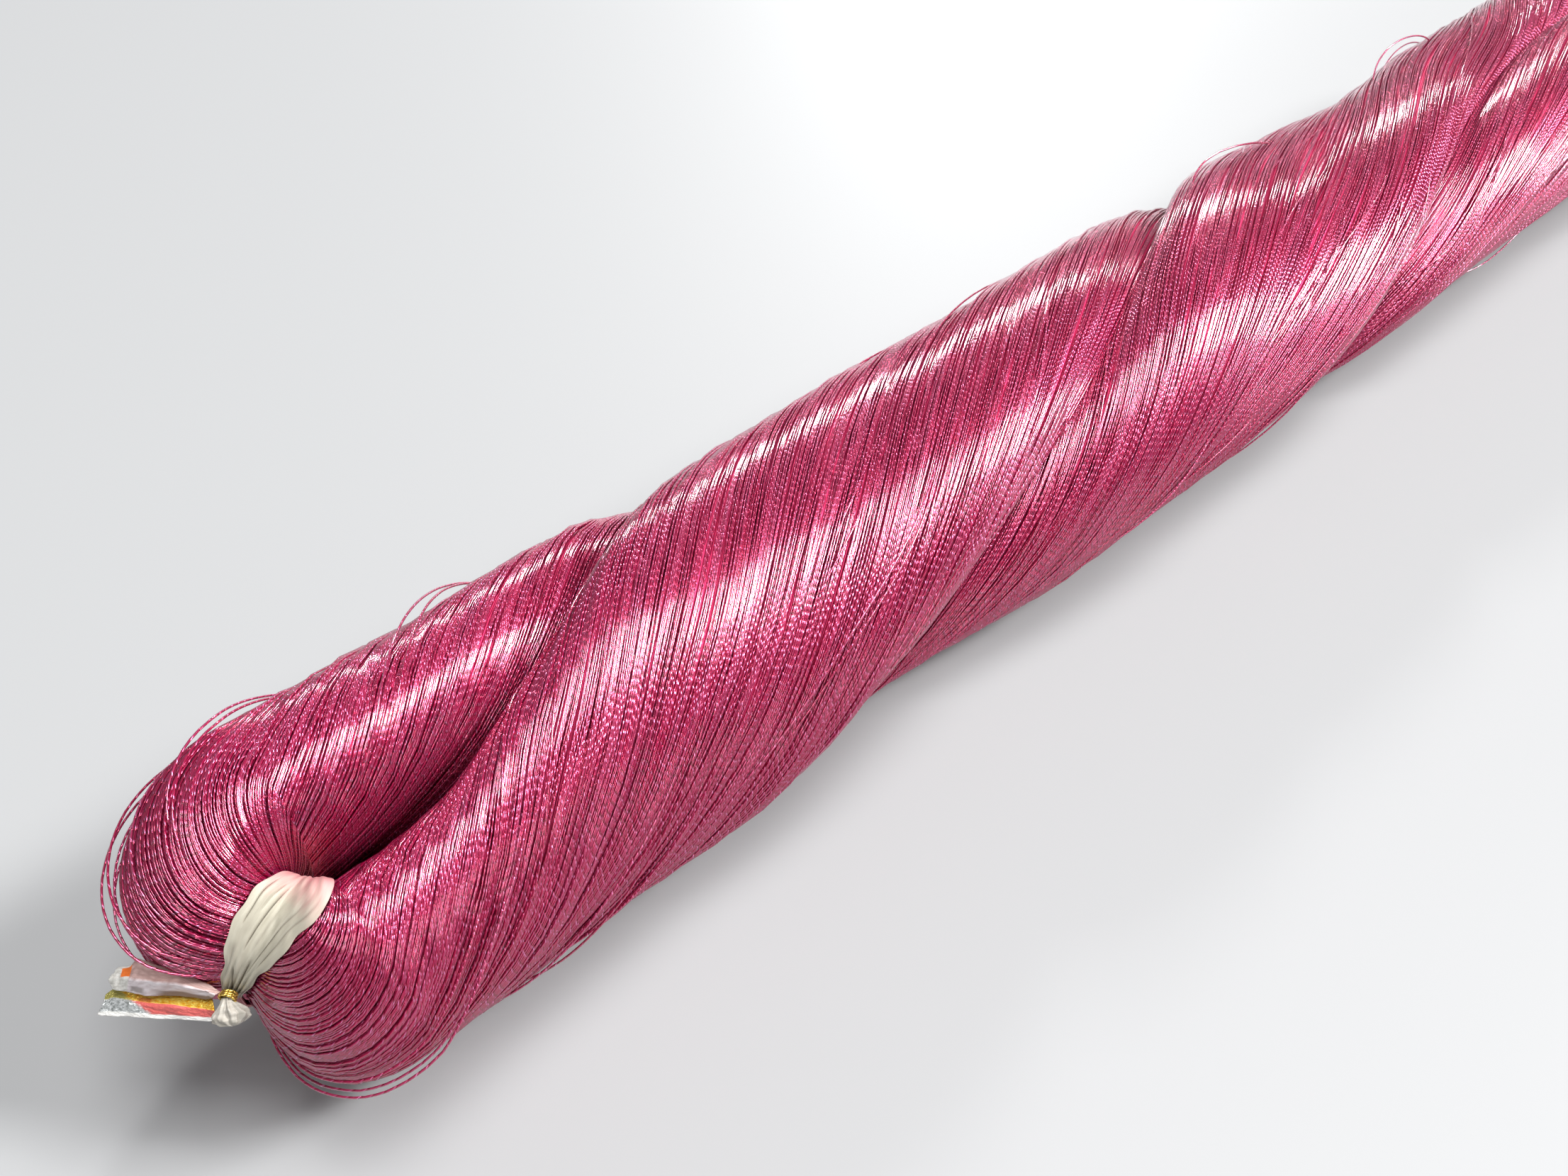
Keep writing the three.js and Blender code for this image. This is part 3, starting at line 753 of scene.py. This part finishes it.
def core_finish():
    """The threads deep in the hank, seen between the outer ones, painted darker in the grooves
    between them.
    """
    finish = Finish("thread_depths")
    around, length = map_values(finish, "Winding")
    ridge = (around * 340.0).math("FRACT")
    crown = ridge * (1 - ridge) * 4
    # Painted shade: darker in the grooves between the ridges, lighter on their crowns.
    colour = finish.blend(crown, rgb(0.42, 0.008, 0.06), rgb(0.75, 0.04, 0.16))
    normal = finish.node(
        "ShaderNodeBump", {}, {"Strength": 1.0, "Distance": 0.08 * MM, "Height": crown}
    )
    return finish.surface(base_color=colour, metallic=0.6, roughness=0.5, normal=normal)


# The hank

def thread_drift(rng, length, count, waves):
    """Smooth sideways wander of each thread, as columns."""
    drift = np.zeros((len(length), count))
    for wave, size in waves:
        waves_here = wave * rng.uniform(0.7, 1.4, count)
        phase = rng.uniform(0, 2 * np.pi, count)
        drift += size * np.sin(2 * np.pi * length[:, None] / waves_here + phase)
    return drift


def shared_drift(rng, length, shares, wave, groups, size):
    """Wander that neighbouring threads share, so that they lie in bundles."""
    phase = np.zeros(len(shares))
    for k in range(1, groups + 1):
        phase += rng.uniform(0.6, 1.6) * np.sin(2 * np.pi * k * shares + rng.uniform(0, 6.3))
    return size * np.sin(2 * np.pi * length[:, None] / wave + phase)


def twist_share(run):
    """How far a thread has turned round its own strand, as a share of a turn."""
    rate = eased(TURNING, "way", "rate", run.length) / 360
    steps = np.diff(run.length) * (rate[1:] + rate[:-1]) / 2
    return np.concatenate([[0], np.cumsum(steps)])


def layer_paths(run, count, seed, low, high, loose):
    """Paths and outward directions of one layer of threads, all round the hank."""
    rng = np.random.default_rng(seed)
    start = (np.arange(count) + rng.uniform(-0.5, 0.5, count)) / count
    _, girth = girth_places(run, np.zeros((len(run.length), 1)))
    drift = thread_drift(rng, run.length, count, [(34, 0.04), (76, 0.10), (170, 0.16)])
    drift += shared_drift(rng, run.length, start, 95, 3, 0.4)
    drift += shared_drift(rng, run.length, start, 210, 3, 0.6)
    share = start + twist_share(run)[:, None] + drift / girth[:, None]
    places, _ = girth_places(run, share)
    lift = rng.uniform(low, high, count) + thread_drift(rng, run.length, count, [(48, loose)])
    lift += shared_drift(rng, run.length, start, 120, 11, 0.14)
    points = rested(on_strand(run, places, lift), THREAD_RADIUS + TABLE_GAP)
    outwards = surface_normals(points, run)
    return points.transpose(1, 0, 2), outwards.transpose(1, 0, 2)


def build_threads(run, material):
    """All the turns of thread that can be seen, in a few pieces."""
    outer = layer_paths(run, OUTER_THREADS, seed=11, low=0.0, high=0.32, loose=0.10)
    under = layer_paths(run, UNDER_THREADS, seed=12, low=-0.30, high=-0.05, loose=0.06)
    paths = np.concatenate([outer[0], under[0]])
    outwards = np.concatenate([outer[1], under[1]])
    for first in range(0, len(paths), PIECE_THREADS):
        numbers = np.arange(first, min(first + PIECE_THREADS, len(paths)))
        name = f"thread_turns_{first // PIECE_THREADS + 1}"
        thread_piece(
            name, numbers, paths[numbers], outwards[numbers], run.length, THREAD_RADIUS, material
        )


def build_core(material):
    """The body of the hank under its outer threads."""
    run = hank_run(body_steps=110, turn_steps=26)
    steps = len(run.length)
    share = np.tile(np.arange(CORE_SIDES) / CORE_SIDES, (steps, 1))
    share += twist_share(run)[:, None]
    places, _ = girth_places(run, share)
    points = rested(on_strand(run, places, CORE_LIFT), CORE_GAP)
    faces = tube_faces(1, steps, CORE_SIDES)
    corners = np.stack(ring_corners(run.length, CORE_SIDES), -1).reshape(-1, 2)
    caps = np.tile([0.5, 0.0], (2 * CORE_SIDES, 1))
    bake = corners / [1.0, run.length[-1]] * 0.98 + 0.01
    bake_caps = np.tile([0.005, 0.005], (2 * CORE_SIDES, 1))
    maps = [
        ("Winding", np.concatenate([corners, caps])),
        ("OFBake", np.concatenate([bake, bake_caps])),
    ]
    piece = mesh_piece("hank_core", points, faces, material, maps)
    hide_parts("skein")
    return piece


def at_ways(run, ways):
    """Sections at any distances along the run."""
    sections = SimpleNamespace(length=ways)
    for name in ("inner", "outer", "half"):
        setattr(sections, name, np.interp(ways, run.length, getattr(run, name)))
    for name in ("origin", "outward", "along"):
        setattr(sections, name, between(ways, run.length, getattr(run, name)))
    return sections


def loose_path(run, start, end, share, drift, rise, peak, steps):
    """A thread that leaves the hank at one place, stands off it and comes back at another."""
    t = np.linspace(0, 1, steps)
    ways = start + (end - start) * t
    sections = at_ways(run, ways)
    turned = np.interp(ways, run.length, twist_share(run))
    swing = 3 * t**2 - 2 * t**3
    _, girth = girth_places(sections, np.zeros((steps, 1)))
    around = share + turned - turned[0] + drift * swing / girth
    places, _ = girth_places(sections, around[:, None])
    off = np.sin(np.pi * t ** (math.log(0.5) / math.log(peak)))
    lift = -0.3 + (0.5 + rise) * np.maximum(off, 0) ** 0.8
    points = rested(on_strand(sections, places, lift[:, None]), THREAD_RADIUS + TABLE_GAP)
    return points[:, 0], surface_normals(points, sections)[:, 0]


def build_loose_threads(run, material):
    """Threads that have slipped out of the hank: some listed one by one, and a fine fuzz."""
    rng = np.random.default_rng(23)
    rows = [tuple(row) for row in zip(*LOOSE.values())]
    for _ in range(FUZZ_THREADS):
        start = rng.uniform(*FUZZ_START)
        end = start + rng.uniform(*FUZZ_SPAN)
        drift = rng.choice([-1, 1]) * rng.uniform(*FUZZ_DRIFT)
        rise = FUZZ_RISE + FUZZ_MORE * rng.uniform() ** 5
        rows.append((start, end, rng.uniform(), drift, rise, rng.uniform(*FUZZ_PEAK)))
    made = [loose_path(run, *row, LOOSE_STEPS) for row in rows]
    paths, outwards = (np.array(part) for part in zip(*made))
    numbers = LOOSE_FIRST + np.arange(len(rows))
    length = np.linspace(0, LOOSE_LENGTH, LOOSE_STEPS)
    thread_piece(
        "loose_threads", numbers, paths, outwards, length, THREAD_RADIUS * 0.9, material, sides=5
    )


# The paper tie and its binding

def pressed(place, across):
    """How deep the band's creases are, in mm, at places on it."""
    depth = 0 * place
    for row in zip(*CREASES.values()):
        from_place, from_across, to_place, to_across, deep, width = row
        along = (place - from_place) / (to_place - from_place)
        line = from_across + (to_across - from_across) * along
        inside = np.clip(np.minimum(along, 1 - along) * 5, 0, 1)
        depth += deep * inside * np.exp(-(((across - line) / width) ** 2))
    return depth


def build_band(material):
    """The loop of paper round the pinched tip, gathered into folds at the knot."""
    steps, columns = 170, 132
    place = np.linspace(BAND["place"][0], BAND["place"][-1], steps, endpoint=False)[:, None]
    across = np.linspace(-1, 1, columns)[None, :]
    left, right, lift = (
        eased(BAND, "place", name, place[:, 0])[:, None] for name in ("left", "right", "lift")
    )
    turn = PINCH_TURN + (left + right) / 2 + (right - left) / 2 * across
    place = place + 0 * across
    from_knot = np.minimum(place - KNOT_PLACE, KNOT_PLACE + 360 - place)
    gather = np.exp(-((from_knot / GATHER_REACH) ** 2))
    height = lift + 0.16 * (1 - across**4) - pressed(place, across)
    height += 0.20 * gather * np.cos(5.5 * np.pi * across)
    height += 0.03 * np.sin(11 * across + place / 9) * np.sin(place / 5 + 4 * across)
    height += 0.05 * np.sin(17 * across + 1.3) * (1 - gather)
    bridge = np.exp(-(((place - BRIDGE_PLACE) / BRIDGE_REACH) ** 2))
    height += BRIDGE_LIFT * (1 - across**2) * bridge
    turn = turn + 0.7 * np.sin(place / 11) * across**3 + 0.4 * np.sin(place / 4.3) * across**5
    band = sheet_piece("paper_band", on_loop(turn, place, height), PAPER, material, closed=True)
    # The crease depths, kept on the band for its painted crease shade.
    depth = np.maximum(pressed(place, across), 0)
    shade = band.data.attributes.new(name="PaintedCreaseShade", type="FLOAT", domain="POINT")
    values = np.concatenate([depth, depth[:, ::-1]], axis=1)
    shade.data.foreach_set("value", values.astype(np.float32).ravel())
    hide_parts("tie_paper")
    return band


def end_grid(rows, steps, columns, crumple, seed):
    """A free end's middle surface: two facets either side of its fold, a little crumpled."""
    rng = np.random.default_rng(seed)
    lines = [
        seen_at(rows[f"{name}_x"], rows[f"{name}_y"], rows[f"{name}_z"])
        for name in ("top", "fold", "low")
    ]
    at = np.linspace(0, len(lines[0]) - 1, steps)
    known = np.arange(len(lines[0]))
    top, fold, low = (between(at, known, line) for line in lines)
    t = np.linspace(0, 2, columns)[None, :, None]
    grid = np.where(
        t < 1,
        top[:, None] + (fold - top)[:, None] * t,
        fold[:, None] + (low - fold)[:, None] * (t - 1),
    )
    face = unit(np.cross(np.gradient(grid, axis=0), np.gradient(grid, axis=1)))
    along, across = np.linspace(0, 1, steps)[:, None], np.linspace(0, 1, columns)[None, :]
    wave = 0 * along * across
    for size, fine in ((1.0, 1.0), (0.6, 2.1), (0.4, 4.3)):
        turn = rng.uniform(0, 6.3, 2)
        ridge = np.sin(9 * fine * along + 5 * fine * across * rng.uniform(-1, 1) + turn[0])
        wave += size * (np.abs(ridge) - 0.6) * np.sin(6 * fine * across + turn[1])
    return grid + face * (crumple * wave)[..., None]


def build_ends():
    """The two free ends of the paper."""
    pieces = []
    for name, rows, material, crumple, seed in (
        ("paper_end_folded", UPPER_END, upper_end_finish(), 0.15, 5),
        ("paper_end_striped", LOWER_END, lower_end_finish(), 0.12, 9),
    ):
        grid = end_grid(rows, steps=60, columns=31, crumple=crumple, seed=seed)
        piece = sheet_piece(name, grid, PAPER, material)
        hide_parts("tie_paper")
        pieces.append(piece)
    return pieces


def neck_axes(start, end):
    """Directions along the neck, across it as the camera sees it, and out of it."""
    ahead = unit(end - start)
    right, _, _ = camera_axes()
    across = unit(right - ahead * (right @ ahead))
    return ahead, across, np.cross(ahead, across)


def build_crumple(material):
    """The gathered neck through the binding, and the paper bunched up past it."""
    known = seen_at(CRUMPLE["x"], CRUMPLE["y"], CRUMPLE["z"])
    steps, around = 44, 96
    at = np.linspace(0, len(known) - 1, steps)
    by = np.arange(len(known))
    middle = between(at, by, known)
    wide, deep = (np.interp(at, by, CRUMPLE[name]) for name in ("wide", "deep"))
    _, across, rise = neck_axes(known[1], known[5])
    angle = 2 * np.pi * np.arange(around) / around
    along = np.linspace(0, 1, steps)[:, None]
    pleat = 1 + 0.16 * np.cos(9 * angle + 2.0 * along) + 0.09 * np.sin(17 * angle - 5 * along)
    pleat += 0.09 * np.sin(4 * angle + 19 * along) * np.clip(along * 4 - 1, 0, 1)
    flat = (wide[:, None] * pleat * np.cos(angle))[..., None] * across
    tall = (deep[:, None] * pleat * np.sin(angle))[..., None] * rise
    rings = middle[:, None] + flat + tall
    faces = tube_faces(1, steps, around)
    maps = tube_maps([0], np.linspace(0, 1, steps), around)
    own = maps[0][1] * [0.4, 1.0]
    piece = mesh_piece("paper_bunch", rings, faces, material, [("Sheet", own), maps[1]])
    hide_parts("tie_paper")
    return piece


def build_binding(material):
    """Three close turns of gold thread round the gathered neck."""
    middle = seen_at(*NECK_MIDDLE)
    ahead, across, rise = neck_axes(seen_at(*NECK_START), seen_at(*NECK_END))
    angle = np.linspace(0, 2 * np.pi, 61)
    out = np.cos(angle)[:, None] * across + np.sin(angle)[:, None] * rise
    paths = []
    for turn in (-1, 0, 1):
        tilt = 0.08 * np.sin(angle + turn)[:, None] * ahead
        paths.append(middle + ahead * GOLD_PITCH * turn + out * (GOLD_RADIUS + 0.05 * turn) + tilt)
    outwards = np.array([out] * len(paths))
    points = tube_points(np.array(paths), outwards, GOLD_THREAD, GOLD_SIDES)
    faces = tube_faces(len(paths), len(angle), GOLD_SIDES)
    maps = tube_maps(range(len(paths)), GOLD_RADIUS * angle, GOLD_SIDES)
    piece = mesh_piece("gold_turns", points, faces, material, maps)
    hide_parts("tie_binding")
    return piece


# Stage, light and camera

def build_floor():
    """The pale table that the hank lies on."""
    bpy.ops.object.select_all(action="DESELECT")
    bpy.ops.mesh.primitive_plane_add(size=FLOOR_SIZE, location=(0, 0, -FLOOR_DROP))
    floor = bpy.context.active_object
    floor.name = "table_top"
    finish = Finish("pale_table")
    floor.data.materials.append(
        finish.surface(base_color=rgb(0.318, 0.321, 0.325), roughness=0.55)
    )


def build_panel(name, azimuth, elevation, side, watts):
    """A square soft light at a direction from the hank, aimed at the row's origin."""
    a, e = math.radians(azimuth), math.radians(elevation)
    flat = PANEL_REACH * math.cos(e)
    x, y = PANEL_MIDDLE + flat * math.cos(a), flat * math.sin(a)
    height = PANEL_REACH * math.sin(e)
    data = bpy.data.lights.new(name, "AREA")
    data.shape = "SQUARE"
    data.size = side
    data.energy = watts
    light = bpy.data.objects.new(name, data)
    bpy.context.scene.collection.objects.link(light)
    light.location = (x, y, height)
    tilt = math.atan2(math.hypot(x, y), height)
    light.rotation_euler = (tilt, 0.0, math.atan2(-y, -x) - math.pi / 2)


def build_lights():
    """The room's even light and the panels."""
    world = bpy.data.worlds.new("soft_room")
    bpy.context.scene.world = world
    world.use_nodes = True
    backdrop = world.node_tree.nodes["Background"]
    backdrop.inputs["Color"].default_value = rgb(0.93, 0.96, 1.0)
    backdrop.inputs["Strength"].default_value = ROOM_STRENGTH
    for name, panel in PANELS.items():
        build_panel(name, *panel)


def build_camera():
    """The photograph's camera."""
    data = bpy.data.cameras.new("camera")
    data.sensor_width = 36.0
    data.sensor_fit = "HORIZONTAL"
    data.lens = CAMERA_LENS
    data.clip_start = 0.01
    camera = bpy.data.objects.new("camera", data)
    bpy.context.scene.collection.objects.link(camera)
    camera.location = ((CAMERA_PLACE - ROW_ORIGIN) * MM).tolist()
    camera.rotation_euler = (math.radians(90 - CAMERA_DIP), 0.0, math.radians(CAMERA_TURN))
    bpy.context.scene.camera = camera
    bpy.context.scene.view_settings.view_transform = "Standard"


build_camera()
build_floor()
build_lights()
pink_thread = leaf_thread(
    "pink_leaf_thread",
    foil=(0.47, 0.002, 0.072),
    pale=(0.95, 0.42, 0.80),
    core=(0.24, 0.002, 0.025),
    roughness=0.17,
)
run = hank_run(body_steps=80, turn_steps=24)
build_core(core_finish())
build_threads(run, pink_thread)
build_loose_threads(run, pink_thread)
cream_paper = paper_finish("cream_paper", (0.47, 0.44, 0.355), (0.34, 0.31, 0.24), reddened=0.33)
band = build_band(cream_paper)
bunch = build_crumple(paper_finish("bunched_paper", (0.45, 0.42, 0.37), (0.28, 0.25, 0.20)))
ends = build_ends()
build_binding(gold_finish())
